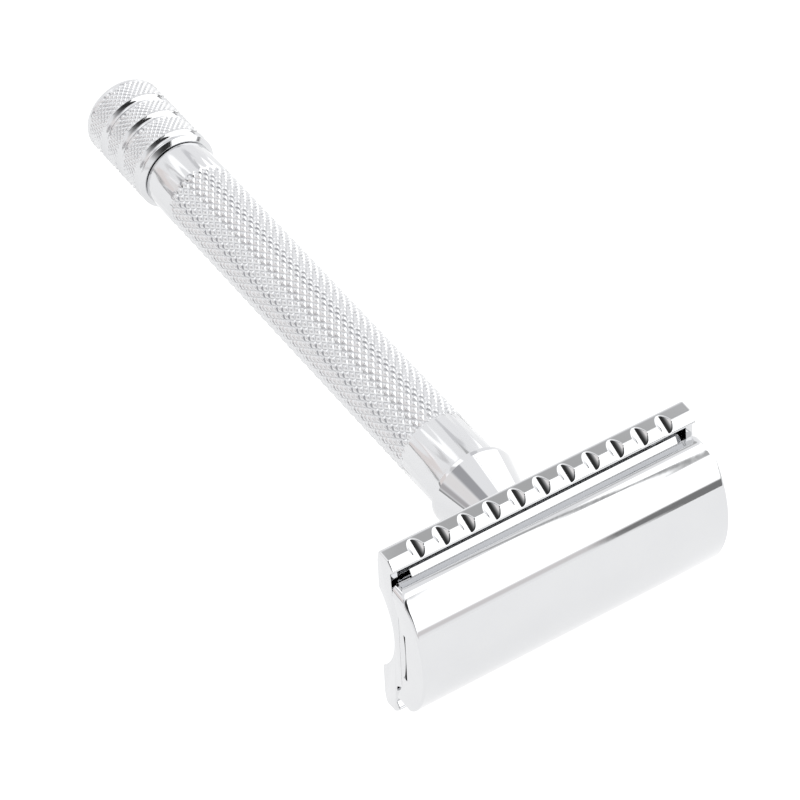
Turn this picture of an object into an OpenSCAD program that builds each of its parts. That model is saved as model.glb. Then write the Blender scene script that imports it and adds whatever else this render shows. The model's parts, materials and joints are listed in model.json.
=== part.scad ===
// Double-edge safety razor with a twist-to-open handle, lying on a flat surface.
// Each module is drawn upright about the handle's axis: +X runs along the guard bars, +Z points
// from the knob to the cap, and Z = 0 is the height of the guard's ridge. lay_down() then lays the
// razor on its side, so that the head's lower guard and the knob's rim touch the surface.

/* [Head] */
// Length of the guard bars
head_len = 42.5; // [41:0.1:45]
// Half width of the head at the ridge of a guard bar
guard_half = 13; // [12.6:0.1:13.4]
// Number of scallops in each guard bar
scallops = 11; // [5:1:11]
// Distance from one scallop to the next
scallop_pitch = 3.47; // [3.3:0.01:3.5]
// Radius of the cutter that makes the scallops
scallop_r = 1.2; // [1.1:0.05:1.4]
// Length of the cap
cap_len = 43.3; // [42.9:0.1:43.6]
// Half width of the cap between its upright edge faces
cap_half = 9.75; // [9.5:0.05:9.9]
// Radius of the cap's domed outside
cap_r = 14.3; // [14:0.1:14.6]
// Radius of the shoulders between the dome and the edge faces
cap_shoulder_r = 4.4; // [4:0.1:4.6]
// Height of the cap's crown above the guard's ridge
cap_top = 7.57; // [7.4:0.01:7.7]

/* [Blade] */
// Length of the blade over its end tabs
blade_len = 42.8; // [42.6:0.1:43]
// Width of the flat blade
blade_w = 22; // [21.8:0.1:22.2]
// Length of each cutting edge
blade_edge = 37.3; // [37:0.1:37.5]
// Radius that the clamped blade is bent to
blade_r = 22; // [21:0.5:24]
// Thickness of the blade
blade_t = 0.1; // [0.08:0.01:0.12]

/* [Handle] */
// Radius of the grip over the crests of its knurl
grip_r = 4.9; // [4.7:0.01:5]
// Distance from the guard's ridge down to the grip's upper end
grip_start = 15.2; // [15:0.1:16]
// Distance from the guard's ridge down to the grip's lower end
grip_end = 84.25; // [70:0.05:88]
// Widest radius of the collar under the head
collar_r = 5.75; // [5.5:0.05:6]
// Narrowest radius of the collar's neck
neck_r = 4.15; // [4.1:0.05:4.3]
// Radius of the turning knob over its knurl
knob_r = 5.65; // [5.4:0.05:6]
// Length of the turning knob
knob_len = 14.7; // [14:0.05:16]

/* [Mechanism] */
// Radius of the stud's thread, drawn as a plain cylinder
stud_r = 2.5; // [2.4:0.05:2.5]
// Radius of the drive rod
rod_r = 2; // [1.8:0.1:2]
// Bore radius of the grip tube
tube_bore = 3.6; // [3.6:0.05:3.7]
// Radial clearance of a running fit
running_gap = 0.05; // [0.03:0.01:0.08]

/* [Hidden] */
$fn = 96;

// A cut runs this far past the face that it opens
over = 1;

// Blade: the bent blade's middle surface is part of a circle about the line y = 0, z = blade_cz
blade_top = 3.2;
blade_cz = blade_top - blade_r;
blade_half_angle = blade_w / 2 / blade_r * 180 / PI;
blade_in = blade_r - blade_t / 2;
blade_out = blade_r + blade_t / 2;
clamp_gap = 0.02;
blade_tab_half = 5.8;
blade_slot_half = 1.3;
blade_slot_len = 33;
blade_slot_end = [2, 4.2];
blade_window = [1.6, 4.2];
blade_window_x = 6;
blade_hole_r = 2.9;
blade_pin_hole_r = 2.4;

// Cap
cap_cz = cap_top - cap_r;
cap_shoulder_y = cap_half - cap_shoulder_r;
cap_shoulder_z = cap_cz + sqrt(pow(cap_r - cap_shoulder_r, 2) - pow(cap_shoulder_y, 2));
cap_corner_r = 1.2;
cap_gap_half = 3.85;
cap_gap_top = 3.75;
cap_recess_len = 34;
cap_recess_half = 6.4;
cap_recess_top = 4.7;
cap_recess_corner = 1.5;
cap_boss_r = 4.6;
cap_boss_z = 3.5;

// Stud and locating pins, which are pressed into the cap
stud_root_r = 3.2;
stud_root_top = 5.9;
stud_root_bottom = 4.3;
stud_tip = -8.6;
stud_lead = 0.6;
pin_r = 2;
pin_x = 11.5;
pin_top = 5.2;
pin_bottom = 1;
pin_lead = 0.5;
pin_boss_r = pin_r + 1.2;
pin_hole_r = pin_r + 0.25;

// Base plate
guard_back_y = guard_half + 0.1;
guard_back_z = -1.65;
guard_top_y = guard_half - 0.97;
guard_top_z = 0.95;
guard_inner_y = guard_top_y - 0.3;
land_y = 11;
land_z = 0.35;
hump_half = 7.2;
hump_foot = 8;
hump_foot_z = 0.6;
hump_side_z = 1.6;
guard_under_y = guard_half - 1.6;
guard_under_z = -2.3;
guard_toe_y = guard_half - 0.1;
guard_toe_z = guard_under_z + 0.3;
arch_top = 0.5;
arch_r = 9.7;
channel_y = 9.65;
channel_r = 2.19;
channel_z = 1.79;
channel_len = 40.4;
boss_r = 5;
boss_z = -2.4;
boss_top = 1;
scallop_cut_len = 8;
groove_low = [guard_half + 0.08, -1.4];
groove_high = [guard_top_y - 0.08, guard_top_z];

// Neck sleeve, which clamps the base plate and the collar to the grip
flange_r = 4.9;
flange_top = 2.5;
flange_bottom = 1.5;
socket_wall = 0.6;
sleeve_bore = stud_r + socket_wall + running_gap;
sleeve_end = -30;

// Collar
collar_rim = 0.7;
collar_slope = 0.28;
collar_chamfer = 0.15;
neck_z = -grip_start + collar_rim + (collar_r - neck_r) / collar_slope;
neck_top_z = -5.6;
collar_flare_r = neck_r + 0.15;
collar_flare_z = neck_top_z + 1;
collar_top_r = 4.9;
collar_top_h = 0.6;

// Rod, socket and their bearings
socket_r = sleeve_bore - running_gap;
socket_top = -1.6;
socket_end = -14.4;
socket_floor = -9.4;
rod_top = -10.2;
socket_pin_z = -12.4;
socket_pin_r = 0.6;
socket_pin_len = 2 * (socket_r - 0.15);
front_bush_z = -40;
bush_len = 6;
axial_gap = 0.05;
loose_gap = 0.1;
bearing_r = tube_bore - 0.2;
spring_t = 0.3;
spring_h = 0.6;
spring_in = rod_r + 0.15;
spring_z = -grip_end + bush_len;
seat_t = 0.5;
seat_z = spring_z + spring_h + axial_gap;
clip_groove_r = 1.6;
clip_z = seat_z + seat_t;
clip_t = 0.6;
clip_r = rod_r + 1.1;
clip_mouth = 1.6 * clip_groove_r;
washer_t = 0.4;
washer_r = 4.5;

// Knob and what holds it on the rod
knob_top = -grip_end - washer_t - axial_gap;
knob_end = knob_top - knob_len;
knob_edge = 1;
knob_chamfer = 0.15;
knob_grooves = [0.86, 5.49, 9.56];
knob_groove_r = 0.62;
knob_groove_depth = 0.45;
rod_end = knob_end + 5.2;
flat_y = 1.6;
screw_r = 1.25;
screw_head_r = 2.3;
screw_head_h = 1.4;
screw_len = 8;
screw_tip_gap = 0.6;
screw_hole_r = screw_r + 0.15;
screw_slot = [0.6, 1.2];
knob_web_z = knob_end + 4.6;
plug_r = 3.5;
plug_t = 1.6;

// The tilt that lets the lower guard's corner and the knob's round edge both touch the surface
rest_a = guard_back_y - knob_r + knob_edge;
rest_b = guard_back_z - knob_end - knob_edge;
rest_tilt = acos(knob_edge / norm([rest_a, rest_b])) - atan2(rest_b, rest_a);
floor_drop = guard_back_y * cos(rest_tilt) - guard_back_z * sin(rest_tilt);
far_y = (knob_r - knob_edge) * sin(rest_tilt) - (knob_end + knob_edge) * cos(rest_tilt) + knob_edge;
near_y = -cap_cz * cos(rest_tilt) - cap_r;

// Lays what was drawn upright on the surface, centred on the origin
module lay_down() {
    translate([0, -(far_y + near_y) / 2, floor_drop])
        rotate([90 - rest_tilt, 0, 0])
            children();
}

// Extrudes an outline drawn in Y and Z along X, centred
module along_head(len) {
    rotate([90, 0, 90])
        linear_extrude(len, center = true)
            children();
}

// A cylinder about the handle's axis from one height to another
module shaft(r, z0, z1) {
    translate([0, 0, min(z0, z1)])
        cylinder(r = r, h = abs(z1 - z0));
}

// A plain ring about the handle's axis
module ring(r_out, r_in, z0, z1) {
    difference() {
        shaft(r_out, z0, z1);
        shaft(r_in, min(z0, z1) - over, max(z0, z1) + over);
    }
}

// A slab with round corners in plan, centred on the axis
module rounded_slab(len, half, corner, z0, z1) {
    translate([0, 0, z0])
        linear_extrude(z1 - z0)
            union() {
                square([len - 2 * corner, 2 * half], center = true);
                square([len, 2 * (half - corner)], center = true);
                for (x = [-1, 1], y = [-1, 1])
                    translate([x * (len / 2 - corner), y * (half - corner)])
                        circle(r = corner);
            }
}

// One scallop's cutter: a cylinder that slopes across a guard bar
module scallop_cutter() {
    run = groove_high - groove_low;
    slope = atan2(run[1], -run[0]);
    middle = (groove_high + groove_low) / 2;
    translate([0, middle[0], middle[1]])
        rotate([-slope, 0, 0])
            translate([0, 0, scallop_r])
                rotate([90, 0, 0])
                    cylinder(r = scallop_r, h = scallop_cut_len, center = true);
}

// Half of the base plate's section, from the arch to the tip of the guard
module base_half_section() {
    difference() {
        polygon([
            [0, guard_under_z],
            [guard_under_y, guard_under_z],
            [guard_toe_y, guard_toe_z],
            [guard_back_y, guard_back_z],
            [guard_half, 0],
            [guard_top_y, guard_top_z],
            [guard_inner_y, guard_top_z],
            [land_y, land_z],
            [hump_foot, hump_foot_z],
            [hump_half, hump_side_z],
            [hump_half, cap_top],
            [0, cap_top],
        ]);
        difference() {
            translate([-over, 0])
                square([hump_foot + over, cap_top + over]);
            translate([0, blade_cz])
                circle(r = blade_in - clamp_gap, $fn = 180);
        }
        translate([0, arch_top - arch_r])
            circle(r = arch_r);
    }
}

// The cap's section: a dome that turns into each edge face over a round shoulder
module cap_section() {
    reach = (cap_r + over) / (cap_r - cap_shoulder_r);
    dome_y = cap_shoulder_y * reach;
    dome_z = cap_cz + (cap_shoulder_z - cap_cz) * reach;
    intersection() {
        translate([0, cap_cz])
            circle(r = cap_r, $fn = 180);
        polygon([[0, cap_cz], [dome_y, dome_z], [0, cap_top + over], [-dome_y, dome_z]]);
    }
    for (s = [-1, 1])
        translate([s * cap_shoulder_y, cap_shoulder_z])
            circle(r = cap_shoulder_r);
    translate([-cap_half, 0])
        square([2 * cap_half, cap_shoulder_z]);
}

module cap() {
    color([0.86, 0.87, 0.89])
        difference() {
            intersection() {
                along_head(cap_len)
                    cap_section();
                rounded_slab(cap_len, cap_half, cap_corner_r, 0, cap_top + over);
            }
            along_head(cap_len + 2 * over)
                translate([0, blade_cz])
                    circle(r = blade_out + clamp_gap, $fn = 180);
            difference() {
                rounded_slab(cap_recess_len, cap_recess_half, cap_recess_corner, 0, cap_recess_top);
                shaft(cap_boss_r, cap_boss_z, cap_recess_top);
                for (x = [-1, 1])
                    translate([x * pin_x, 0, 0])
                        shaft(pin_boss_r, cap_boss_z, cap_recess_top);
            }
            for (x = [-1, 1])
                translate([x * cap_len / 2, 0, cap_gap_top / 2])
                    cube([cap_len - cap_recess_len + over, 2 * cap_gap_half, cap_gap_top], center = true);
            shaft(stud_root_r, stud_root_bottom, stud_root_top);
            shaft(stud_r, 0, stud_root_bottom);
            for (x = [-1, 1])
                translate([x * pin_x, 0, 0])
                    shaft(pin_r, 0, pin_top);
        }
}

module cap_stud() {
    color([0.78, 0.79, 0.81]) {
        shaft(stud_root_r, stud_root_bottom, stud_root_top);
        shaft(stud_r, stud_tip + stud_lead, stud_root_bottom);
        translate([0, 0, stud_tip])
            cylinder(r1 = stud_r - stud_lead, r2 = stud_r, h = stud_lead);
    }
}

module cap_pins() {
    color([0.86, 0.87, 0.89])
        for (x = [-1, 1])
            translate([x * pin_x, 0, 0]) {
                shaft(pin_r, pin_bottom + pin_lead, pin_top);
                translate([0, 0, pin_bottom])
                    cylinder(r1 = pin_r - pin_lead, r2 = pin_r, h = pin_lead);
            }
}

// Outline of the blade in plan, with its end tabs and the slot that fits any razor
module blade_plan() {
    edge_half = blade_r * sin(blade_half_angle) + over;
    difference() {
        union() {
            square([blade_edge, 2 * edge_half], center = true);
            square([blade_len, 2 * blade_tab_half], center = true);
        }
        square([blade_slot_len, 2 * blade_slot_half], center = true);
        circle(r = blade_hole_r);
        for (x = [-1, 1]) {
            translate([x * pin_x, 0])
                circle(r = blade_pin_hole_r);
            translate([x * blade_window_x, 0])
                square(blade_window, center = true);
            translate([x * blade_slot_len / 2, 0])
                square(blade_slot_end, center = true);
        }
    }
}

module blade() {
    color([0.72, 0.74, 0.77])
        intersection() {
            along_head(blade_len + 2 * over)
                difference() {
                    translate([0, blade_cz])
                        circle(r = blade_out, $fn = 180);
                    translate([0, blade_cz])
                        circle(r = blade_in, $fn = 180);
                    translate([0, blade_cz])
                        for (s = [-1, 1])
                            rotate(s * (90 + blade_half_angle))
                                translate([0, 2 * blade_r])
                                    square(4 * blade_r, center = true);
                }
            linear_extrude(cap_top)
                blade_plan();
        }
}

module base_plate() {
    color([0.86, 0.87, 0.89])
        difference() {
            union() {
                along_head(head_len) {
                    base_half_section();
                    mirror([1, 0])
                        base_half_section();
                }
                shaft(boss_r, boss_z, boss_top);
            }
            for (side = [0, 1])
                mirror([0, side, 0]) {
                    translate([0, channel_y, channel_z])
                        rotate([0, 90, 0])
                            cylinder(r = channel_r, h = channel_len, center = true);
                    for (k = [0 : scallops - 1])
                        translate([(k - (scallops - 1) / 2) * scallop_pitch, 0, 0])
                            scallop_cutter();
                }
            shaft(tube_bore, boss_z - over, flange_bottom + over);
            shaft(flange_r, flange_bottom, cap_top);
            for (x = [-1, 1])
                translate([x * pin_x, 0, 0])
                    shaft(pin_hole_r, -over, cap_top);
        }
}

module neck_sleeve() {
    color([0.74, 0.75, 0.77])
        difference() {
            union() {
                shaft(flange_r, flange_bottom, flange_top);
                shaft(tube_bore, sleeve_end, flange_bottom);
            }
            shaft(sleeve_bore, sleeve_end - over, flange_top + over);
        }
}

module collar() {
    color([0.84, 0.85, 0.87])
        rotate_extrude()
            polygon([
                [tube_bore, -grip_start],
                [collar_r - collar_chamfer, -grip_start],
                [collar_r, -grip_start + collar_chamfer],
                [collar_r, -grip_start + collar_rim],
                [neck_r, neck_z],
                [neck_r, neck_top_z],
                [collar_flare_r, collar_flare_z],
                [collar_top_r, boss_z - collar_top_h],
                [collar_top_r, boss_z],
                [tube_bore, boss_z],
            ]);
}

module handle_tube() {
    color([0.82, 0.83, 0.85])
        ring(grip_r, tube_bore, -grip_end, -grip_start);
}

module front_bush() {
    color([0.80, 0.66, 0.38])
        ring(tube_bore, rod_r + running_gap, front_bush_z - bush_len, front_bush_z);
}

module rear_bush() {
    color([0.80, 0.66, 0.38])
        ring(tube_bore, rod_r + running_gap, -grip_end, -grip_end + bush_len);
}

module drive_rod() {
    color([0.62, 0.64, 0.67])
        difference() {
            shaft(rod_r, rod_end, rod_top);
            ring(rod_r + over, clip_groove_r, clip_z, clip_z + clip_t);
            translate([0, 0, socket_pin_z])
                rotate([90, 0, 0])
                    cylinder(r = socket_pin_r, h = 4 * rod_r, center = true);
            translate([-rod_r, flat_y, rod_end - over])
                cube([2 * rod_r, rod_r, knob_top - rod_end + over]);
            shaft(screw_r, rod_end - over, rod_end + screw_len);
        }
}

module rod_socket() {
    color([0.80, 0.66, 0.38])
        difference() {
            shaft(socket_r, socket_end, socket_top);
            shaft(stud_r + running_gap, socket_floor, socket_top + over);
            shaft(rod_r, socket_end - over, rod_top);
            translate([0, 0, socket_pin_z])
                rotate([90, 0, 0])
                    cylinder(r = socket_pin_r, h = 4 * socket_r, center = true);
        }
}

module socket_pin() {
    color([0.55, 0.57, 0.60])
        translate([0, 0, socket_pin_z])
            rotate([90, 0, 0])
                cylinder(r = socket_pin_r, h = socket_pin_len, center = true);
}

module retaining_ring() {
    color([0.45, 0.46, 0.48])
        difference() {
            shaft(clip_r, clip_z, clip_z + clip_t);
            shaft(clip_groove_r, clip_z - over, clip_z + clip_t + over);
            translate([0, clip_r, clip_z + clip_t / 2])
                cube([clip_mouth, 2 * clip_r, clip_t + over], center = true);
        }
}

module seat_washer() {
    color([0.70, 0.71, 0.73])
        ring(bearing_r, rod_r + loose_gap, seat_z, clip_z);
}

// A conical spring washer that presses the rod away from the head, so that the knob turns stiffly
module disc_spring() {
    color([0.50, 0.52, 0.55])
        translate([0, 0, spring_z])
            rotate_extrude()
                polygon([
                    [bearing_r, 0],
                    [spring_in, spring_h - spring_t],
                    [spring_in, spring_h],
                    [bearing_r, spring_t],
                ]);
}

module thrust_washer() {
    color([0.35, 0.35, 0.37])
        ring(washer_r, rod_r + loose_gap, -grip_end - washer_t, -grip_end);
}

// Half of the knob's section, with a round edge at its far end
module knob_outline() {
    polygon([
        [0, knob_end],
        [knob_r - knob_edge, knob_end],
        [knob_r - knob_edge, knob_end + knob_edge],
        [knob_r, knob_end + knob_edge],
        [knob_r, knob_top - knob_chamfer],
        [knob_r - knob_chamfer, knob_top],
        [0, knob_top],
    ]);
    translate([knob_r - knob_edge, knob_end + knob_edge])
        circle(r = knob_edge);
}

// The knob's knurled bands are parted by round grooves
module knob() {
    color([0.82, 0.83, 0.85])
        difference() {
            rotate_extrude()
                difference() {
                    knob_outline();
                    for (d = knob_grooves)
                        translate([knob_r - knob_groove_depth + knob_groove_r, knob_top - d])
                            circle(r = knob_groove_r);
                }
            difference() {
                shaft(rod_r, rod_end, knob_top + over);
                translate([-rod_r, flat_y, knob_end])
                    cube([2 * rod_r, rod_r, knob_len + 2 * over]);
            }
            shaft(screw_hole_r, knob_end, rod_end + over);
            shaft(plug_r, knob_end - over, knob_web_z);
        }
}

module knob_screw() {
    color([0.55, 0.57, 0.60])
        difference() {
            union() {
                shaft(screw_r, knob_web_z, rod_end + screw_len - screw_tip_gap);
                shaft(screw_head_r, knob_web_z - screw_head_h, knob_web_z);
            }
            translate([0, 0, knob_web_z - screw_head_h])
                cube([2 * screw_head_r + over, screw_slot[0], screw_slot[1]], center = true);
        }
}

module knob_plug() {
    color([0.82, 0.83, 0.85])
        shaft(plug_r, knob_end, knob_end + plug_t);
}

lay_down() cap();
lay_down() cap_stud();
lay_down() cap_pins();
lay_down() blade();
lay_down() base_plate();
lay_down() collar();
lay_down() neck_sleeve();
lay_down() handle_tube();
lay_down() front_bush();
lay_down() rear_bush();
lay_down() drive_rod();
lay_down() rod_socket();
lay_down() socket_pin();
lay_down() retaining_ring();
lay_down() seat_washer();
lay_down() disc_spring();
lay_down() thrust_washer();
lay_down() knob();
lay_down() knob_screw();
lay_down() knob_plug();
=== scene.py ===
"""Looks of a double-edge safety razor, lying on a pale surface in soft studio light.

Each piece is drawn in millimetres in the razor's own directions: x runs along the head, y across it,
z from the knob towards the cap, and z = 0 is the height of the guard's ridge. LAID puts it in place.
"""

import json
import math

import bmesh
import bpy
import numpy as np
from mathutils import Matrix, Vector


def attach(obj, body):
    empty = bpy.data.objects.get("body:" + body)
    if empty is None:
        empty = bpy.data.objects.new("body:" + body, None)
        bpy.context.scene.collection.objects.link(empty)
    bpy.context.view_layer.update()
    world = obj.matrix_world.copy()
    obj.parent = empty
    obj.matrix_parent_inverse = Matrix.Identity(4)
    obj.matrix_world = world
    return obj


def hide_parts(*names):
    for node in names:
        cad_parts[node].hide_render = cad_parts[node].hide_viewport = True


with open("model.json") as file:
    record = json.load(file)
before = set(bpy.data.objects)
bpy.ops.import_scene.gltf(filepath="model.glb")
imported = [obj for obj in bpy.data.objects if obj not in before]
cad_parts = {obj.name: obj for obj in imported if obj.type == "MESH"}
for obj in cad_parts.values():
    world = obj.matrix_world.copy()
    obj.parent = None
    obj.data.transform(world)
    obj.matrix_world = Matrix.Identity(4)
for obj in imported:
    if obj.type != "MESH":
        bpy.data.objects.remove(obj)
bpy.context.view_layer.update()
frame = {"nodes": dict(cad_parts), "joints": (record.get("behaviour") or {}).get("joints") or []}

MM = 0.001

# ---------------------------------------------------------------- the razor's own directions
CROWN = 7.57  # height of the cap's crown above the guard's ridge

spin = next(j for j in frame["joints"] if j["name"] == "knob_spin")
TO_CAP = -Vector(spin["axis"]).normalized()
ALONG = Vector((1, 0, 0))
ACROSS = TO_CAP.cross(ALONG)


def laid_matrix():
    """The matrix from the razor's own directions to the row frame, in metres."""
    on_axis = Vector(spin["pos_m"])
    crown = max((v.co - on_axis).dot(TO_CAP) for v in frame["nodes"]["cap"].data.vertices)
    turn = Matrix((ALONG, ACROSS, TO_CAP)).transposed().to_4x4()
    return Matrix.Translation(on_axis + TO_CAP * (crown - CROWN * MM)) @ turn


LAID = laid_matrix()


def span(node):
    """Lowest and highest corner of a CAD node in the razor's own directions, in millimetres."""
    to_own = LAID.inverted()
    points = np.array([to_own @ v.co for v in frame["nodes"][node].data.vertices]) / MM
    return points.min(0), points.max(0)


# ---------------------------------------------------------------- outlines
CORNER_SHARE = 0.49  # the most of a side that the rounding of one corner takes


def soften(points, closed=False, steps=5):
    """A polyline of (x, y, radius) corners with each corner rounded to its radius."""
    count = len(points)
    made = []
    for i, (x, y, radius) in enumerate(points):
        here = np.array((x, y), float)
        if radius == 0 or (not closed and i in (0, count - 1)):
            made.append(here)
            continue
        before = np.array(points[i - 1][:2], float) - here
        after = np.array(points[(i + 1) % count][:2], float) - here
        room = CORNER_SHARE * min(np.linalg.norm(before), np.linalg.norm(after))
        before /= np.linalg.norm(before)
        after /= np.linalg.norm(after)
        half = math.acos(max(-1.0, min(1.0, float(before @ after)))) / 2
        reach = min(radius / math.tan(half), room)
        middle = here + (before + after) / np.linalg.norm(before + after) * reach / math.cos(half)
        start = here + before * reach - middle
        end = here + after * reach - middle
        sweep = math.atan2(start[0] * end[1] - start[1] * end[0], float(start @ end))
        for k in range(steps + 1):
            a = sweep * k / steps
            turn = np.array(((math.cos(a), -math.sin(a)), (math.sin(a), math.cos(a))))
            made.append(middle + turn @ start)
    return made


def arc(centre, radius, start, end, steps):
    """Points of an arc about centre, with its angles in degrees."""
    angles = np.radians(np.linspace(start, end, steps + 1))
    return [np.array((centre[0] + radius * math.cos(a), centre[1] + radius * math.sin(a))) for a in angles]


def curve(start, pull, end, steps):
    """Points of a curve from start to end that bends towards pull."""
    a, b, c = (np.array(p, float) for p in (start, pull, end))
    return [(1 - t) ** 2 * a + 2 * t * (1 - t) * b + t * t * c for t in np.linspace(0, 1, steps)]


# ---------------------------------------------------------------- meshes
WELD = 1e-7  # points nearer to each other than this, in metres, become one


def add_piece(name, body, slot, mesh, sharp, nodes):
    """Links a mesh drawn in millimetres as a piece of the razor, with edges over sharp degrees kept crisp."""
    mesh.transform(Matrix.Scale(MM, 4))
    tidy = bmesh.new()
    tidy.from_mesh(mesh)
    bmesh.ops.remove_doubles(tidy, verts=tidy.verts, dist=WELD)
    bmesh.ops.recalc_face_normals(tidy, faces=tidy.faces)
    tidy.to_mesh(mesh)
    tidy.free()
    mesh.shade_smooth()
    mesh.set_sharp_from_angle(angle=math.radians(sharp))
    mesh.materials.clear()
    mesh.materials.append(MATERIALS[slot])
    piece = bpy.data.objects.new(name, mesh)
    bpy.context.scene.collection.objects.link(piece)
    piece.matrix_world = LAID
    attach(piece, body)
    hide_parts(*nodes)


def mesh_of(name, points, faces):
    """A mesh from points in millimetres and faces."""
    mesh = bpy.data.meshes.new(name)
    mesh.from_pydata([tuple(float(c) for c in p) for p in points], [], faces)
    mesh.update()
    return mesh


def face_outwards(mesh):
    """Turns every face of a closed mesh outwards."""
    made = bmesh.new()
    made.from_mesh(mesh)
    bmesh.ops.recalc_face_normals(made, faces=made.faces)
    made.to_mesh(mesh)
    made.free()
    return mesh


def prism_faces(count):
    """Faces of a prism: count points of one end, then the same points of the other end."""
    sides = [(i, (i + 1) % count, count + (i + 1) % count, count + i) for i in range(count)]
    return sides + [tuple(range(count))[::-1], tuple(range(count, 2 * count))]


def turned_mesh(name, rings, columns, closed=True, lattice=()):
    """A mesh of rings about the handle's axis. A ring is (height, radius), or (height, radii) for a knurl.

    lattice holds the index of each ring that starts a knurled row, with that row's number and the
    knurl's steps to half a diamond. Faces are split along the knurl's creases there.
    """
    angles = np.arange(columns) * 2 * math.pi / columns
    points = []
    for height, radius in rings:
        radii = np.broadcast_to(radius, columns)
        points += list(zip(radii * np.cos(angles), radii * np.sin(angles), [height] * columns))
    rows = dict((start, (row, steps)) for start, row, steps in lattice)
    faces = []
    last = len(rings) if closed else len(rings) - 1
    for j in range(last):
        a = j * columns
        b = (j + 1) % len(rings) * columns
        for i in range(columns):
            k = (i + 1) % columns
            corners = (a + i, a + k, b + k, b + i)
            if j not in rows:
                faces.append(corners)
                continue
            row, steps = rows[j]
            if (i // steps + row // steps) % 2 == 0:
                faces += [(corners[0], corners[1], corners[3]), (corners[1], corners[2], corners[3])]
            else:
                faces += [(corners[0], corners[1], corners[2]), (corners[0], corners[2], corners[3])]
    if not closed:
        faces.append(tuple(range(columns)))
        faces.append(tuple(range((len(rings) - 1) * columns, len(rings) * columns)))
    return mesh_of(name, points, faces)


def lathe(name, outline, columns):
    """A mesh turned from a closed outline of (radius, height) points."""
    return turned_mesh(name, [(z, r) for r, z in outline], columns)


class Knurl:
    """A diamond knurl: two sets of V grooves that cross, with flats on the crests.

    around is the number of diamonds round the piece and pitch their length along it. steps is how
    finely half a diamond is cut up, flat the share of the rise to a crest that is left, and fade the
    number of steps over which the grooves run out at both ends.
    """

    def __init__(self, radius, depth, around, pitch, steps, flat, fade):
        self.radius = radius
        self.depth = depth
        self.steps = steps
        self.flat = flat
        self.fade = fade
        self.row = pitch / 2 / steps
        self.columns = 2 * around * steps

    def rows(self, top, bottom):
        """Heights and radii from top down to bottom, evenly spaced near the knurl's own row height."""
        blocks = max(1, round((top - bottom) / self.row / self.steps))
        count = blocks * self.steps
        x = np.arange(self.columns) / self.steps
        made = []
        for k in range(count + 1):
            y = k / self.steps
            even = (np.floor(x) + math.floor(y)) % 2 == 0
            fx = x - np.floor(x)
            fy = y - math.floor(y)
            rise = np.where(even, np.abs(fx + fy - 1), np.abs(fx - fy))
            share = np.minimum(rise / self.flat, 1)
            depth = self.depth * min(1, (min(k, count - k) + 0.5) / self.fade)
            made.append((top + (bottom - top) * k / count, self.radius - depth * (1 - share)))
        return made


KNURL_GAP = 0.05  # between a knurled band and the smooth outline beside it


def knurled_mesh(name, outline, bands, knurl):
    """A turned piece whose outline of (radius, height) points runs past knurled bands.

    bands holds (index, top, bottom): the band goes into the outline before that index.
    """
    rings = []
    lattice = []
    starts = {index: (top, bottom) for index, top, bottom in bands}
    for index, (r, z) in enumerate(outline):
        if index in starts:
            made = knurl.rows(*starts[index])
            lattice += [(len(rings) + k, k, knurl.steps) for k in range(len(made) - 1)]
            rings += made
        rings.append((z, r))
    return turned_mesh(name, rings, knurl.columns, True, lattice)


def cut(target, cutters, operation="DIFFERENCE"):
    """Cuts each cutter mesh out of the target mesh, or joins them to it, and gives the new mesh."""
    scene = bpy.context.scene
    base = bpy.data.objects.new("target", target)
    scene.collection.objects.link(base)
    tools = []
    for mesh in cutters:
        tool = bpy.data.objects.new("cutter", mesh)
        scene.collection.objects.link(tool)
        change = base.modifiers.new("cut", "BOOLEAN")
        change.operation = operation
        change.solver = "EXACT"
        change.object = tool
        tools.append(tool)
    bpy.context.view_layer.update()
    made = bpy.data.meshes.new_from_object(base.evaluated_get(bpy.context.evaluated_depsgraph_get()))
    for o in [base, *tools]:
        bpy.data.objects.remove(o)
    return made


POST_COLUMNS = 96


def post(radius, low, high, x=0.0):
    """An upright cylinder mesh at x along the head."""
    mesh = turned_mesh("post", [(low, radius), (high, radius)], POST_COLUMNS, closed=False)
    mesh.transform(Matrix.Translation((x, 0, 0)))
    return face_outwards(mesh)


def block(half, low, high, corner, middle=(0.0, 0.0)):
    """A slab mesh with round corners in plan, from low to high, about a middle in plan."""
    plan = [(half[0], -half[1], corner), (half[0], half[1], corner)]
    plan += [(-half[0], half[1], corner), (-half[0], -half[1], corner)]
    ring = soften(plan, closed=True, steps=8)
    points = [(*p, low) for p in ring] + [(*p, high) for p in ring]
    mesh = mesh_of("block", points, prism_faces(len(ring)))
    mesh.transform(Matrix.Translation((*middle, 0)))
    return mesh


# ---------------------------------------------------------------- materials
def node_of(tree, kind, **values):
    """A new node with its settings and its inputs' values set by name."""
    made = tree.nodes.new(kind)
    for key, value in values.items():
        name = key.replace("_", " ")
        if name in made.inputs:
            made.inputs[name].default_value = value
        else:
            setattr(made, key, value)
    return made


def texture(tree, stretch, scale):
    """Noise over the object's own coordinates, stretched along its axes."""
    place = node_of(tree, "ShaderNodeTexCoord")
    mapping = node_of(tree, "ShaderNodeMapping")
    mapping.inputs["Scale"].default_value = stretch
    noise = node_of(tree, "ShaderNodeTexNoise", Scale=scale, Detail=3.0)
    tree.links.new(place.outputs["Object"], mapping.inputs["Vector"])
    tree.links.new(mapping.outputs["Vector"], noise.inputs["Vector"])
    return noise.outputs["Fac"]


NOISE_RANGE = (0.3, 0.7)  # where nearly all of a noise texture's values lie


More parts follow.
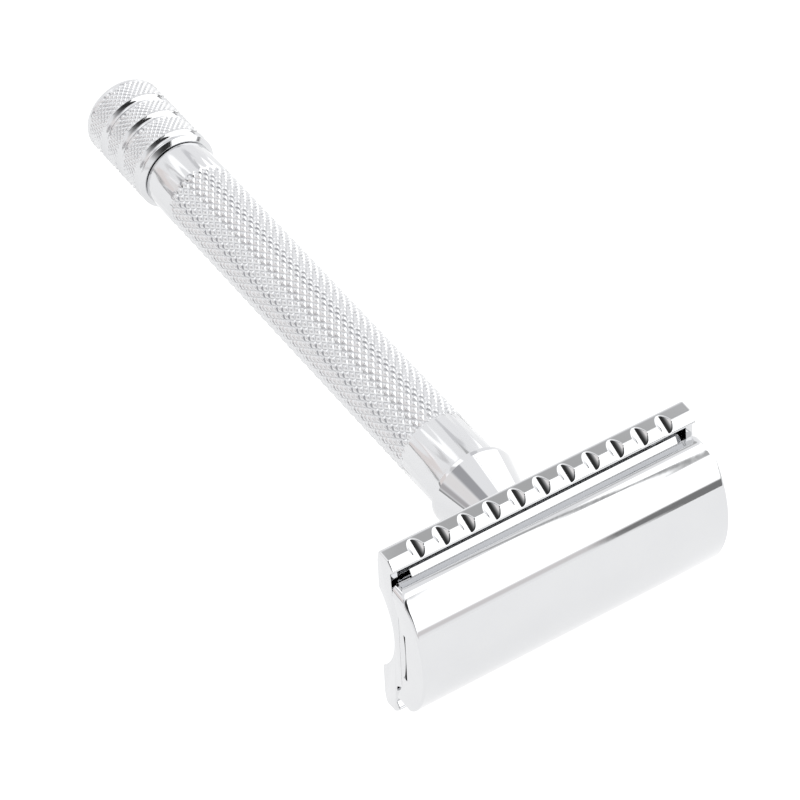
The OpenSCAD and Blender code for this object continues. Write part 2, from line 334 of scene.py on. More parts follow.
def ranged(tree, noise, low, high):
    """A noise texture's values spread from low to high."""
    made = node_of(tree, "ShaderNodeMapRange")
    made.inputs["From Min"].default_value = NOISE_RANGE[0]
    made.inputs["From Max"].default_value = NOISE_RANGE[1]
    made.inputs["To Min"].default_value = low
    made.inputs["To Max"].default_value = high
    tree.links.new(noise, made.inputs["Value"])
    return made.outputs["Result"]


def colour_mix(tree):
    """A node that lays one colour over another: its factor, its two colours and its result."""
    mix = node_of(tree, "ShaderNodeMix", data_type="RGBA")
    under, over = (s for s in mix.inputs if s.type == "RGBA")
    result = next(s for s in mix.outputs if s.type == "RGBA")
    return mix.inputs["Factor"], under, over, result


STAIN_SCALE = 160
STAIN_SHARE = 0.35
GRAIN_SCALE = 900
GRAIN_HEIGHT = 0.00002


def metal(name, colour, dull, rough, grain=(1, 1, 1), bump=0.02):
    """A metal with slightly uneven gloss, faint stains and a fine grain.

    dull is the colour where the surface is a little stained, rough the lowest and highest roughness,
    and grain how the grain is stretched.
    """
    made = bpy.data.materials.new(name)
    made.use_nodes = True
    tree = made.node_tree
    shader = tree.nodes["Principled BSDF"]
    shader.inputs["Metallic"].default_value = 1
    stain = ranged(tree, texture(tree, (1, 1, 1), STAIN_SCALE), 0, STAIN_SHARE)
    factor, clean, stained, result = colour_mix(tree)
    clean.default_value = (*colour, 1)
    stained.default_value = (*dull, 1)
    tree.links.new(stain, factor)
    tree.links.new(result, shader.inputs["Base Color"])
    fine = texture(tree, grain, GRAIN_SCALE)
    tree.links.new(ranged(tree, fine, *rough), shader.inputs["Roughness"])
    lift = node_of(tree, "ShaderNodeBump", Strength=bump, Distance=GRAIN_HEIGHT)
    tree.links.new(fine, lift.inputs["Height"])
    tree.links.new(lift.outputs["Normal"], shader.inputs["Normal"])
    return made


def plastic(name, colour, rough):
    """A moulded plastic with a faint mottle."""
    made = metal(name, colour, [c * 0.8 for c in colour], rough, bump=0.1)
    made.node_tree.nodes["Principled BSDF"].inputs["Metallic"].default_value = 0
    return made


CHROME = (0.66, 0.665, 0.675)
CHROME_DULL = (0.62, 0.625, 0.64)
ROLLED = (1, 12, 12)
TURNED = (1, 1, 14)
MATERIALS = {
    "polished_chrome": metal("polished_chrome", CHROME, CHROME_DULL, (0.02, 0.05)),
    "knurled_chrome": metal("knurled_chrome", CHROME, CHROME_DULL, (0.08, 0.16), bump=0.05),
    "blade_steel": metal("blade_steel", (0.6, 0.605, 0.61), (0.56, 0.56, 0.57), (0.05, 0.1), ROLLED, 0.01),
    "turned_steel": metal("turned_steel", (0.5, 0.5, 0.5), (0.42, 0.42, 0.43), (0.2, 0.35), TURNED),
    "spring_steel": metal("spring_steel", (0.34, 0.33, 0.33), (0.25, 0.24, 0.25), (0.25, 0.4)),
    "brass": metal("brass", (0.72, 0.5, 0.22), (0.6, 0.4, 0.18), (0.18, 0.32), TURNED),
    "dark_nylon": plastic("dark_nylon", (0.03, 0.03, 0.032), (0.4, 0.55)),
}


def finish_cad_nodes(names, slot):
    """Gives CAD nodes that stay in view a material of their own slot."""
    for name in names:
        data = frame["nodes"][name].data
        data.materials.clear()
        data.materials.append(MATERIALS[slot])


# ---------------------------------------------------------------- the head
# The cap's underside and the bed under the blade are bent about one line under the head
BEND_Z = -18.8
CAP_BED_R = 22.07
PLATE_BED_R = 21.93
PIN_R = 2.0
BORE_R = 3.6  # the bore through the base plate, the collar and the grip
BELOW = -1.0  # where cuts from below start, under every part of the cap and the blade

# The cap is a wide dome with a tighter shoulder along both long edges
DOME_R = 14.3
DOME_Z = CROWN - DOME_R
SHOULDER_R = 4.4


def cap_mesh():
    """A domed cap with upright edge faces, round corners in plan and softened edges."""
    half_len, half, _ = span("cap")[1]
    corner = 1.2
    edge = 0.34
    under_edge = 0.1
    # Small lips under the cap's ends, past the blade, where the underside comes a little lower
    lip = 21.95
    lip_x = 18.9
    lip_y = 6.1
    lip_step = 0.04
    fine = 14
    steps_along = 25
    steps_across = 120
    shoulder_y = half - SHOULDER_R
    shoulder_z = DOME_Z + math.sqrt((DOME_R - SHOULDER_R) ** 2 - shoulder_y ** 2)
    dome_end = shoulder_y * DOME_R / (DOME_R - SHOULDER_R)

    def outside(y):
        if abs(y) < dome_end:
            return DOME_Z + math.sqrt(DOME_R ** 2 - y * y)
        return shoulder_z + math.sqrt(max(SHOULDER_R ** 2 - (abs(y) - shoulder_y) ** 2, 0))

    def reach_at(x):
        beyond = max(abs(x) - (half_len - corner), 0)
        return half - corner + math.sqrt(max(corner * corner - beyond * beyond, 0))

    def inside(x, y):
        qx = abs(x) - (half_len - corner)
        qy = abs(y) - (half - corner)
        return corner - math.hypot(max(qx, 0), max(qy, 0)) - min(max(qx, qy), 0)

    def drop(distance, radius):
        reach = radius - min(max(distance, 0), radius)
        return radius - math.sqrt(max(radius * radius - reach * reach, 0))

    def end_share(x, y):
        qx = max(abs(x) - (half_len - corner), 0)
        qy = max(abs(y) - (half - corner), 0)
        return qx / math.hypot(qx, qy) if qx > 0 else 0

    def dense(limit, zone, inner):
        near = [limit - zone * (1 - math.cos(math.pi / 2 * k / fine)) for k in range(fine + 1)]
        middle = list(np.linspace(-(limit - zone), limit - zone, inner)[1:-1])
        return sorted([-v for v in near] + middle + near)

    xs = []
    for side in (-1, 1):
        for k in range(2 * fine + 1):
            turn = math.pi / 2 * k / (2 * fine)
            xs.append(side * (half_len - corner + corner * math.sin(turn)))
            if 0 < k <= fine:
                xs.append(side * (half_len - edge * (1 - math.cos(math.pi / 2 * k / fine))))
    xs += list(np.linspace(-(half_len - corner), half_len - corner, steps_along)[1:-1])
    xs += [side * (lip_x + d) for side in (-1, 1) for d in (-lip_step, lip_step)]
    xs = sorted(set(round(x, 4) for x in xs))
    shares = [s / half for s in dense(half, edge, steps_across)]
    across = len(shares)

    points = []
    for x in xs:
        for s in shares:
            y = reach_at(x) * s
            points.append((x, y, outside(y) - drop(inside(x, y), edge * end_share(x, y))))
    under = len(points)
    for x in xs:
        for s in shares:
            y = reach_at(x) * s
            bed = lip if abs(x) > lip_x and abs(y) > lip_y else CAP_BED_R
            base = BEND_Z + math.sqrt(bed * bed - y * y)
            points.append((x, y, base + drop(inside(x, y), under_edge)))
    faces = []
    for j in range(len(xs) - 1):
        for i in range(across - 1):
            a = j * across + i
            b = a + across
            faces.append((a, b, b + 1, a + 1))
            faces.append((under + a, under + a + 1, under + b + 1, under + b))
    rim = [(0, i) for i in range(across)]
    rim += [(j, across - 1) for j in range(1, len(xs))]
    rim += [(len(xs) - 1, i) for i in range(across - 2, -1, -1)]
    rim += [(j, 0) for j in range(len(xs) - 2, 0, -1)]
    loop = [j * across + i for j, i in rim]
    for k, a in enumerate(loop):
        b = loop[(k + 1) % len(loop)]
        faces.append((a, b, under + b, under + a))
    return mesh_of("cap_shell", points, faces)


def make_cap():
    """The cap, with the hollow under it and the gaps for the blade's ends cut out."""
    half_len = span("cap")[1][0]
    pin_far, _, pin_top = span("cap_pins")[1]
    stud_r, _, stud_top = span("cap_stud")[1]
    pin_x = pin_far - PIN_R
    hollow_half = (17.0, 6.4)
    hollow_top = 4.7
    boss_bottom = 3.5
    boss_top = 5.5
    stud_boss_r = 4.6
    pin_boss_r = 3.2
    gap_half = (2.6, 3.85)
    gap_top = 3.75
    gap_in = 1.6
    socket_bottom = 1.0
    overlap = 0.01
    bosses = [post(stud_boss_r, boss_bottom, boss_top)]
    bosses += [post(pin_boss_r, boss_bottom, boss_top, x) for x in (-pin_x, pin_x)]
    cuts = [cut(block(hollow_half, BELOW, hollow_top, 1.5), bosses)]
    cuts += [block(gap_half, BELOW, gap_top, 0.3, (side * (half_len - gap_in), 0)) for side in (-1, 1)]
    cuts += [post(stud_r, socket_bottom, stud_top - overlap)]
    cuts += [post(PIN_R, socket_bottom, pin_top, x) for x in (-pin_x, pin_x)]
    mesh = cut(cap_mesh(), cuts)
    add_piece("cap_dome", "cap_assembly", "polished_chrome", mesh, 30, ["cap"])


def make_blade():
    """The bent blade with its ground edges, end tabs, slot and holes."""
    half_len, _, top = span("blade")[1]
    bend = 22.0
    thick = 0.1
    half_width = 11.0
    ground = 1.05
    ground_off = 0.09
    edge_half = 18.65
    cut_top = 5.0
    centre = top - bend - thick / 2
    reach = half_width / bend
    angles = np.linspace(-reach, reach, 121)
    share = np.clip(1 - (reach - np.abs(angles)) * bend / ground, 0, 1)
    outer = bend + thick / 2 - ground_off * share
    inner = np.full_like(outer, bend - thick / 2)
    ring = [(r * math.sin(a), centre + r * math.cos(a)) for a, r in zip(angles, outer)]
    ring += [(r * math.sin(a), centre + r * math.cos(a)) for a, r in zip(angles[::-1], inner)]
    points = [(x, *p) for x in (-half_len, half_len) for p in ring]
    sheet = face_outwards(mesh_of("blade_sheet", points, prism_faces(len(ring))))

    # The centre hole and the long slot, then the pin hole, two windows and two corners of each end
    hole_r = 2.9
    slot_half = (16.5, 1.3)
    pin_hole_r = 2.4
    pin_hole_x = 11.5
    windows = ((6.0, 0.8), (16.5, 1.0))
    window_half = 2.1
    corner_half = (2.0, 4.0)
    corner_y = 9.8
    tools = [post(hole_r, BELOW, cut_top), block(slot_half, BELOW, cut_top, 0.4)]
    for side in (-1, 1):
        tools.append(post(pin_hole_r, BELOW, cut_top, side * pin_hole_x))
        for x, half in windows:
            tools.append(block((half, window_half), BELOW, cut_top, 0.2, (side * x, 0)))
        for up in (-1, 1):
            middle = (side * (edge_half + corner_half[0]), up * corner_y)
            tools.append(block(corner_half, BELOW, cut_top, 0.5, middle))
    mesh = cut(sheet, tools)
    add_piece("blade_ground", "loose_blade", "blade_steel", mesh, 2.0, ["blade"])


# Each scallop is a round groove down the guard, and its floor runs from GROOVE_HIGH to GROOVE_LOW
SCALLOPS = 11
SCALLOP_PITCH = 3.47
SCALLOP_R = 1.2
GROOVE_LOW = np.array((13.08, -1.4))
GROOVE_HIGH = np.array((11.95, 0.95))
# The land beside the bed, which dips and then rises to the guard, as distances across and heights
LAND_Y = (7.2, 8.0, 11.0, 11.89)
LAND_Z = (1.6, 0.6, 0.35, 1.08)
# The arch under the base plate
ARCH_R = 9.7
ARCH_Z = 0.5 - ARCH_R


def even_line(start, end, step):
    """Points from start towards end about a step apart, without the end."""
    a = np.array(start, float)
    b = np.array(end, float)
    count = max(1, round(float(np.linalg.norm(b - a)) / step))
    return [a + (b - a) * k / count for k in range(count)]


def resample(points, step):
    """A polyline with points about a step apart, its own points among them."""
    made = []
    for a, b in zip(points[:-1], points[1:]):
        made += even_line(a, b, step)
    return made + [np.array(points[-1], float)]


def base_half_outline(has_channel):
    """Half of the base plate's section, from the top of the bed round to the arch.

    has_channel says whether the channel between the bed and the guard is in it.
    """
    def bed_at(y):
        return BEND_Z + math.sqrt(PLATE_BED_R * PLATE_BED_R - y * y)

    def land_at(y):
        return float(np.interp(y, LAND_Y, LAND_Z))

    bed_half = LAND_Y[0]
    bed_edge = 0.15
    top = [np.array((y, bed_at(y))) for y in np.linspace(0, bed_half - bed_edge, 12)]
    wall = soften([(*top[-1], 0), (bed_half, bed_at(bed_half), 0.12), (bed_half, LAND_Z[0], 0)])

    channel_y = 9.65
    channel_z = 1.79
    channel_r = 2.19
    channel_half = 1.9
    land_start = 7.9
    flat = [np.array((land_start, land_at(land_start)))]
    for y in channel_y - channel_half * np.cos(np.linspace(0.45, math.pi - 0.02, 22)):
        floor = channel_z - math.sqrt(max(channel_r ** 2 - (y - channel_y) ** 2, 0))
        flat.append(np.array((y, min(land_at(y), floor) if has_channel else land_at(y))))

    crest_start = (11.58, 0.83)
    crest_pull = (11.76, 1.214)
    crest_end = (12.45, 0.538)
    under = -2.3
    arch_half = 6.82
    fine_step = 0.09
    coarse_step = 0.6
    crest = curve(crest_start, crest_pull, crest_end, 14)
    front = soften([
        (*crest_end, 0), (13.0, 0.0, 0.22), (13.1, -1.65, 0.3), (12.9, -2.0, 0.3), (11.4, under, 0.4),
        (arch_half, under, 0),
    ])
    guard = crest[:-1] + resample(front[:-1], fine_step) + even_line((11.0, under), (7.0, under), coarse_step)
    arch_start = math.degrees(math.atan2(under - ARCH_Z, arch_half))
    return top[:-1] + wall + flat + guard + arc((0, ARCH_Z), ARCH_R, arch_start, 90, 20)


def base_plate_mesh():
    """The base plate, lofted along the head, with its scallops pressed into both guard bars."""
    half_len = span("base_plate")[1][0]
    channel_half = 20.2
    channel_step = 0.04
    keep_clear = 0.06
    edge = 0.14
    edge_steps = 5
    scallop_steps = 44
    blend = 0.05
    # Scallops act only on the guard: past this distance across, and above this height
    guard_from = 10.5
    guard_bottom = -1.7
    run = (GROOVE_HIGH - GROOVE_LOW) / np.linalg.norm(GROOVE_HIGH - GROOVE_LOW)
    out = np.array((run[1], -run[0]))

    def loop_of(half):
        return np.array(half + [np.array((-p[0], p[1])) for p in half[-2:0:-1]])

    with_channel = loop_of(base_half_outline(True))
    without = loop_of(base_half_outline(False))
    step = SCALLOP_PITCH / scallop_steps
    count = 2 * round((half_len - edge) / step)
    xs = list(np.linspace(-(half_len - edge), half_len - edge, count + 1))
    xs = [x for x in xs if abs(abs(x) - channel_half) > keep_clear]
    xs += [s * (channel_half + d) for s in (-1, 1) for d in (-channel_step, channel_step)]
    rounds = [edge * math.sin(math.pi / 2 * k / edge_steps) for k in range(1, edge_steps + 1)]
    xs += [s * (half_len - edge + r) for s in (-1, 1) for r in rounds]
    xs = sorted(xs)

    def groove_height(x):
        k = round(x / SCALLOP_PITCH)
        k = max(-(SCALLOPS // 2), min(SCALLOPS // 2, k))
        off = abs(x - k * SCALLOP_PITCH)
        return SCALLOP_R - math.sqrt(SCALLOP_R ** 2 - off * off) if off < SCALLOP_R else None

    def inset(loop, amount):
        before = np.roll(loop, 1, axis=0)
        after = np.roll(loop, -1, axis=0)
        tangent = after - before
        tangent /= np.linalg.norm(tangent, axis=1)[:, None]
        return loop + np.stack((-tangent[:, 1], tangent[:, 0]), 1) * -amount

    points = []
    for x in xs:
        loop = (with_channel if abs(x) < channel_half else without).copy()
        floor = groove_height(x)
        if floor is not None:
            for side in (-1, 1):
                mine = loop * (side, 1)
                rise = (mine - GROOVE_LOW) @ out
                gap = np.clip(0.5 + 0.5 * (floor - rise) / blend, 0, 1)
                low = rise * gap + floor * (1 - gap) - blend * gap * (1 - gap)
                change = np.where(rise > floor - blend, low - rise, 0)
                change = np.where((mine[:, 0] > guard_from) & (loop[:, 1] > guard_bottom), change, 0)
                loop = (mine + change[:, None] * out) * (side, 1)
        over = abs(x) - (half_len - edge)
        if over > 0:
            loop = inset(loop, edge - math.sqrt(max(edge * edge - over * over, 0)))
        points += [(x, p[0], p[1]) for p in loop]
    ring = len(with_channel)
    faces = []
    for j in range(len(xs) - 1):
        for i in range(ring):
            k = (i + 1) % ring
            faces.append((j * ring + i, j * ring + k, (j + 1) * ring + k, (j + 1) * ring + i))
    faces.append(tuple(range(ring)))
    faces.append(tuple(range((len(xs) - 1) * ring, len(xs) * ring))[::-1])
    return mesh_of("base_plate_loft", points, faces)


def make_base_plate():
    """The base plate with its boss, counterbore and pin holes."""
    bottom = span("base_plate")[0][2]
    flange_r, _, flange_top = span("neck_sleeve")[1]
    flange_bottom = flange_top - 1.0
    pin_x = span("cap_pins")[1][0] - PIN_R
    pin_hole_r = 2.25
    boss_r = 5.0
    boss_top = 1.0
    under = -4.0
    pin_under = -3.0
    bore_top = 3.0
    above = 5.0
    body = cut(face_outwards(base_plate_mesh()), [post(boss_r, bottom, boss_top)], "UNION")
    holes = [post(BORE_R, under, bore_top), post(flange_r, flange_bottom, above)]
    holes += [post(pin_hole_r, pin_under, above, x) for x in (-pin_x, pin_x)]
    mesh = cut(body, holes)
    add_piece("guard_plate", "handle", "polished_chrome", mesh, 28, ["base_plate"])


# ---------------------------------------------------------------- the handle
def make_collar():
    """The collar under the head: a bright rim, a cone, a narrow neck and a wider top."""
    low, high = span("collar")
    rim_r = high[0]
    bottom = low[2]
    top = high[2]
    rim_top = bottom + 0.7
    neck_r = 4.15
    neck_top = -5.6
    flare_r = 4.3
    flare_z = -4.6
    head_r = 4.9
    head_bottom = top - 0.6
    cone_slope = 0.28
    cone_top = rim_top + (rim_r - neck_r) / cone_slope
    outline = soften([
        (BORE_R, bottom, 0.05), (rim_r, bottom, 0.16), (rim_r, rim_top, 0.12), (neck_r, cone_top, 1.6),
        (neck_r, neck_top, 0.8), (flare_r, flare_z, 0.5), (head_r, head_bottom, 0.3), (head_r, top, 0.12),
        (BORE_R, top, 0.05),
    ], closed=True, steps=6)
    mesh = lathe("collar_cone", outline, 192)
    add_piece("collar_cone", "handle", "polished_chrome", mesh, 30, ["collar"])


def make_grip():
    """The grip tube, with a smooth band at each end of its diamond knurl."""
    low, high = span("handle_tube")
    radius = high[0]
    top = high[2]
    bottom = low[2]
    knurl = Knurl(radius, depth=0.27, around=28, pitch=1.6, steps=3, flat=0.82, fade=3)
    knurl_top = top - 7.7
    knurl_bottom = bottom + 5.6
    edge = 0.15
    front = [(BORE_R, top, 0.1), (radius, top, edge), (radius, knurl_top + KNURL_GAP, 0)]
    rear = [(radius, knurl_bottom - KNURL_GAP, 0), (radius, bottom, edge), (BORE_R, bottom, 0.1)]
    outline = soften(front, steps=4)
    first = len(outline)
    outline += soften(rear, steps=4)
    mesh = knurled_mesh("grip", outline, [(first, knurl_top, knurl_bottom)], knurl)
    add_piece("grip_tube", "handle", "knurled_chrome", mesh, 40, ["handle_tube"])


def make_knob():
    """The turning knob: a lip, knurled bands parted by round grooves, and a round far end."""
    low, high = span("knob")
    radius = high[0]
    top = high[2]
    bottom = low[2]
    bore_r = 2.02
    groove_r = 0.62
    groove_out = 0.17  # how far a groove's centre is outside the crests of the knurl
    groove_shift = 0.03
    groove_trim = 8
    end_round = 1.0
    end_slack = 0.02
    plug_edge = 0.08
    plug_r = span("knob_plug")[1][0]
    web = span("knob_screw")[0][2] + 1.4
    knurl = Knurl(radius, depth=0.16, around=42, pitch=0.85, steps=2, flat=0.8, fade=2)
    half = math.sqrt(groove_r ** 2 - groove_out ** 2)
    swing = math.degrees(math.asin(half / groove_r)) - groove_trim
    grooves = [top - d for d in (0.86, 5.49, 9.56)]

    # The lip covers the thrust washer's rim and ends just short of the grip
    lip_r = span("thrust_washer")[1][0] + 0.1
    lip_top = span("handle_tube")[0][2] - 0.12
    lip_slope = 0.55
    edge_r = radius - 0.05
    edge_top = top - 0.12
    outline = soften([
        (bore_r, top, 0), (lip_r, top, 0), (lip_r, lip_top, 0.04), (edge_r - lip_slope, lip_top, 0.1),
        (edge_r, edge_top, 0.08), (edge_r, grooves[0] + half, 0),
    ])
    bands = []
    for k, z in enumerate(grooves):
        middle = (radius + groove_out - groove_shift, z)
        outline += arc(middle, groove_r, 180 - swing, 180 + swing, 12)
        end = grooves[k + 1] + half if k + 1 < len(grooves) else bottom + end_round
        bands.append((len(outline), z - half - KNURL_GAP, end + KNURL_GAP))
    outline += arc((radius - end_round, bottom + end_round), end_round - end_slack, 0, -90, 10)
    inner = [(plug_r + plug_edge, bottom), (plug_r, bottom + plug_edge), (plug_r, web), (bore_r, web)]
    outline += [np.array(p) for p in inner]
    mesh = knurled_mesh("knob", outline, bands, knurl)
    add_piece("knob_knurled", "knob_drive", "knurled_chrome", mesh, 40, ["knob"])


def make_plug():
    """The plug that closes the knob's far end, with fine turned rings and a small centre mark."""
    low, high = span("knob_plug")
    radius = high[0]
    face = low[2]
    edge = 0.12
    ring_pitch = 0.4
    ring_half = 0.08
    ring_depth = 0.03
    mark_r = 0.45
    mark_depth = 0.25
    outline = [(0.0, high[2]), (radius, high[2]), (radius, face + edge), (radius - edge, face)]
    for r in np.arange(3.0, 0.6, -ring_pitch):
        outline += [(r, face), (r - ring_half, face + ring_depth), (r - 2 * ring_half, face)]
    outline += [(mark_r, face), (0.0, face + mark_depth)]
    mesh = lathe("plug", outline, 144)
    add_piece("end_plug", "knob_drive", "polished_chrome", mesh, 25, ["knob_plug"])


def make_stud():
    """The cap's stud, with a real helical thread."""
    low, high = span("cap_stud")
    head_r = high[0]
    head_top = high[2]
    head_bottom = 4.31
    pitch = 0.8
    depth = 0.42
    radius = 2.49
    tip_r = 1.4
    lead_in = 0.9
    lead_start = 0.25
    lead_depth = 0.5
    crest_slope = 2.6
    crest_flat = 0.15
    start = 0.02
    step = 0.01
    steps = 8
    columns = 96
    bottom = low[2]
    thread_top = 1.6
    thread_end = 0.3
    angles = np.arange(columns) / columns
    rings = [(bottom, tip_r)]
    count = round((thread_top - bottom) / pitch * steps)
    for k in range(count + 1):
        z = bottom + start + (thread_top - bottom) * k / count
        phase = (z / pitch - angles) % 1
        wave = np.clip(np.abs(phase - 0.5) * crest_slope - crest_flat, 0, 1)
        lead = min(1.0, (z - bottom) / lead_in + lead_start)
        rings.append((z, radius - depth * wave - (1 - lead) * lead_depth))
    rings += [(thread_top + thread_end, radius), (head_bottom - step, radius)]
    rings += [(head_bottom, head_r), (head_top, head_r)]
    mesh = turned_mesh("stud", rings, columns, closed=False)
    add_piece("threaded_stud", "cap_assembly", "turned_steel", mesh, 40, ["cap_stud"])


# ---------------------------------------------------------------- stage, light and camera
FLOOR_HALF = 0.8
FLOOR_DROP = 0.00002
FLOOR_GREY = 0.22
FLOOR_GLOW = 1.0
# What the camera looks at, in the razor's own directions, and where it stands, in degrees and millimetres
CAMERA_AT = Vector((0.85, 0.0, -32.31))
CAMERA_AZIMUTH = -33.36
CAMERA_ELEVATION = 48.41
CAMERA_ROLL = 0.52
CAMERA_DISTANCE = 480.2
CAMERA_LENS = 175.8
SENSOR = 36
CLIP = (0.01, 100)  # in metres


def make_floor():
    """A pale matt floor that glows a little, as an over-lit white table does."""
    mesh = bpy.data.meshes.new("floor")
    corners = [(-1, -1), (1, -1), (1, 1), (-1, 1)]
    mesh.from_pydata([(x * FLOOR_HALF, y * FLOOR_HALF, 0) for x, y in corners], [], [(0, 1, 2, 3)])
    floor = bpy.data.objects.new("floor", mesh)
    bpy.context.scene.collection.objects.link(floor)
    floor.location.z = -FLOOR_DROP
    look = bpy.data.materials.new("pale_floor")
    look.use_nodes = True
    shader = look.node_tree.nodes["Principled BSDF"]
    shader.inputs["Base Color"].default_value = (FLOOR_GREY, FLOOR_GREY, FLOOR_GREY, 1)
    shader.inputs["Roughness"].default_value = 1
    shader.inputs["Specular IOR Level"].default_value = 0
    shader.inputs["Emission Color"].default_value = (1, 1, 1, 1)
    shader.inputs["Emission Strength"].default_value = FLOOR_GLOW
    mesh.materials.append(look)


SKY = (1.15, 1.15, 1.16)
LEAST_UPWARD = 0.01  # keeps sideways over upwards finite below the horizon
# Soft boxes and dark flags round the razor: azimuth from and to, elevation from and to, how soft
# both kinds of edge are in degrees, and how bright they are
STUDIO = [
    ((4, 124), (6, 80), (2.0, 2.0), (1.9, 1.9, 1.9)),
    ((-200, 200), (-90, 0.4), (0.5, 0.2), (1.19, 1.19, 1.19)),
    ((141, 156), (30, 47), (1.5, 3.0), (0.84, 0.84, 0.86)),
    ((134, 149), (46, 54), (1.5, 2.0), (0.58, 0.58, 0.58)),
    ((97, 118), (2, 8), (2.0, 2.0), (1.9, 1.9, 1.9)),
    ((-178, -153), (36, 58), (2.0, 3.0), (1.6, 1.6, 1.6)),
    ((-151, -140), (32, 46), (2.0, 3.0), (0.85, 0.84, 0.85)),
    ((-137.5, -132), (22.5, 29), (1.5, 2.0), (1.4, 1.36, 1.37)),
    ((-141, -122), (3, 22), (3.0, 1.5), (1.04, 0.97, 0.95)),
    ((-124, -92), (48, 76), (4.0, 5.0), (0.5, 0.5, 0.52)),
    ((-124, -60), (22, 46), (4.0, 5.0), (1.08, 1.05, 1.04)),
    ((-116, -60), (5, 19), (4.0, 4.0), (0.6, 0.58, 0.59)),
    ((-145, -60), (-6, 3.5), (3.0, 1.5), (0.45, 0.45, 0.45)),
    ((-60, 80), (1.4, 5.4), (1.0, 1.0), (0.9, 0.87, 0.87)),
    ((23.2, 80), (0.2, 4.8), (0.25, 0.8), (0.27, 0.27, 0.27)),
    ((24.0, 80), (-3.0, 5.2), (0.5, 0.8), (0.27, 0.27, 0.27)),
]

# The dark flag in front of the razor, overhead and to the left. Sideways over upwards has to be below
# FLAG_SIDE, and the flag fades out to the left over FLAG_FADE. Each _SOFT is half of a soft edge.
FLAG_SIDE = 0.37
FLAG_SIDE_SOFT = 0.015
FLAG_FADE = (-1.8, -0.1)
FLAG_AHEAD = 0.03
FLAG_AHEAD_SOFT = 0.03
FLAG_LOW = 5.0
FLAG_LOW_SOFT = 1
FLAG_BRIGHT = (0.04, 0.04, 0.04)
# The dark seam beside the flag, as sideways over upwards, which leans by SEAM_TURN towards the front
SEAM = (0.431, 0.448)
SEAM_SOFT = 0.005
SEAM_TURN = 0.15
SEAM_BEHIND = -0.05
SEAM_LOW = (0.79, 0.84)
SEAM_BRIGHT = (0.5, 0.5, 0.5)


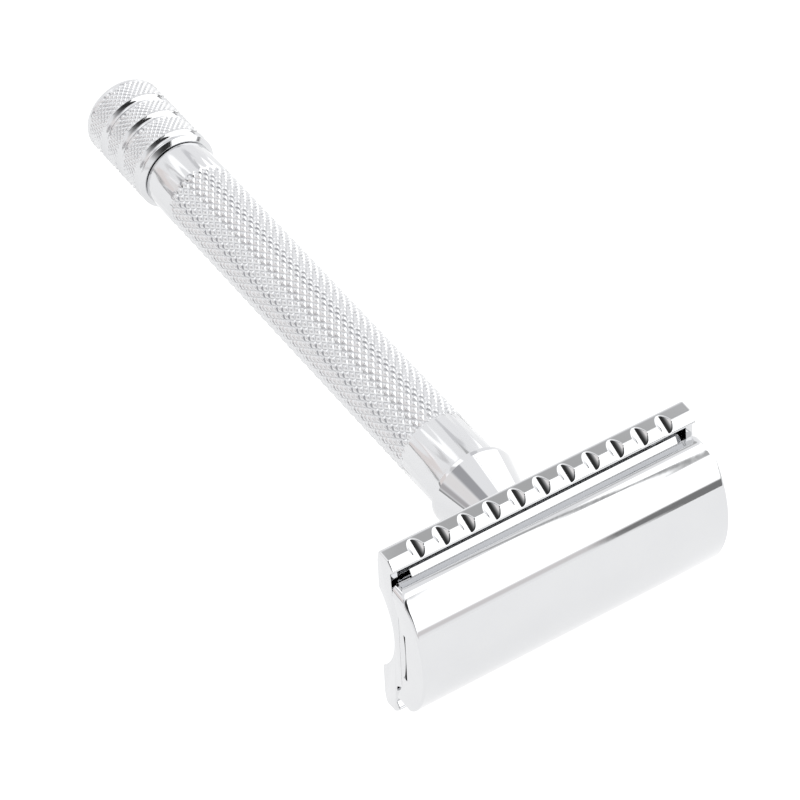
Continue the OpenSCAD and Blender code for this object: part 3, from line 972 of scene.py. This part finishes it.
def make_studio():
    """A white studio with soft boxes and dark flags, as light from far away."""
    world = bpy.data.worlds.new("studio")
    bpy.context.scene.world = world
    world.use_nodes = True
    tree = world.node_tree
    link = tree.links.new
    place = node_of(tree, "ShaderNodeTexCoord")
    parts = node_of(tree, "ShaderNodeSeparateXYZ")
    link(place.outputs["Generated"], parts.inputs["Vector"])

    def calc(operation, *values):
        made = node_of(tree, "ShaderNodeMath", operation=operation)
        for slot, value in zip(made.inputs, values):
            if isinstance(value, (int, float)):
                slot.default_value = value
            else:
                link(value, slot)
        return made.outputs["Value"]

    ahead = calc("MULTIPLY", parts.outputs["Y"], -1)
    azimuth = calc("DEGREES", calc("ARCTAN2", parts.outputs["X"], ahead))
    elevation = calc("DEGREES", calc("ARCSINE", parts.outputs["Z"]))

    def step(value, start, end):
        made = node_of(tree, "ShaderNodeMapRange", interpolation_type="SMOOTHSTEP")
        made.inputs["From Min"].default_value = start
        made.inputs["From Max"].default_value = end
        link(value, made.inputs["Value"])
        return made.outputs["Result"]

    def step_about(value, middle, soft):
        return step(value, middle - soft, middle + soft)

    def between(value, low, high, soft):
        below_high = calc("SUBTRACT", 1, step_about(value, high, soft))
        return calc("MULTIPLY", step_about(value, low, soft), below_high)

    def laid_over(colour, bright, mask):
        factor, under, over, result = colour_mix(tree)
        over.default_value = (*bright, 1)
        link(colour, under)
        link(mask, factor)
        return result

    colour = node_of(tree, "ShaderNodeRGB").outputs["Color"]
    colour.default_value = (*SKY, 1)
    for azimuths, elevations, (soft_az, soft_el), bright in STUDIO:
        level = between(elevation, *elevations, soft_el)
        mask = calc("MULTIPLY", level, between(azimuth, *azimuths, soft_az))
        colour = laid_over(colour, bright, mask)

    upward = calc("MAXIMUM", parts.outputs["Z"], LEAST_UPWARD)
    sideways = calc("DIVIDE", parts.outputs["X"], upward)
    forward = calc("DIVIDE", ahead, upward)
    in_front = step_about(ahead, FLAG_AHEAD, FLAG_AHEAD_SOFT)
    raised = step_about(elevation, FLAG_LOW, FLAG_LOW_SOFT)
    beside = calc("SUBTRACT", 1, step_about(sideways, FLAG_SIDE, FLAG_SIDE_SOFT))
    flag = calc("MULTIPLY", calc("MULTIPLY", in_front, raised), beside)
    colour = laid_over(colour, FLAG_BRIGHT, calc("MULTIPLY", flag, step(sideways, *FLAG_FADE)))

    across = calc("SUBTRACT", sideways, calc("MULTIPLY", calc("MAXIMUM", forward, SEAM_BEHIND), SEAM_TURN))
    seam = calc("MULTIPLY", between(across, *SEAM, SEAM_SOFT), step(parts.outputs["Z"], *SEAM_LOW))
    colour = laid_over(colour, SEAM_BRIGHT, seam)
    link(colour, tree.nodes["Background"].inputs["Color"])


def make_camera():
    """The camera, looking down on the razor from beyond the left end of the head."""
    data = bpy.data.cameras.new("camera")
    data.lens = CAMERA_LENS
    data.sensor_width = SENSOR
    data.clip_start, data.clip_end = CLIP
    camera = bpy.data.objects.new("camera", data)
    bpy.context.scene.collection.objects.link(camera)
    az = math.radians(CAMERA_AZIMUTH)
    el = math.radians(CAMERA_ELEVATION)
    back = Vector((math.sin(az) * math.cos(el), -math.cos(az) * math.cos(el), math.sin(el)))
    camera.location = LAID @ (CAMERA_AT * MM) + back * CAMERA_DISTANCE * MM
    aim = (-back).to_track_quat("-Z", "Y").to_matrix().to_4x4()
    roll = Matrix.Rotation(math.radians(CAMERA_ROLL), 4, "Z")
    camera.matrix_world = Matrix.Translation(camera.location) @ aim @ roll
    bpy.context.scene.camera = camera


# ---------------------------------------------------------------- the whole scene
make_camera()
make_studio()
make_floor()
make_cap()
make_stud()
make_blade()
make_base_plate()
make_collar()
make_grip()
make_knob()
make_plug()
finish_cad_nodes(["cap_pins"], "polished_chrome")
finish_cad_nodes(["neck_sleeve", "drive_rod", "socket_pin", "seat_washer", "knob_screw"], "turned_steel")
finish_cad_nodes(["retaining_ring", "disc_spring"], "spring_steel")
finish_cad_nodes(["front_bush", "rear_bush", "rod_socket"], "brass")
finish_cad_nodes(["thrust_washer"], "dark_nylon")

bpy.context.scene.view_settings.view_transform = "Standard"
bpy.context.view_layer.update()
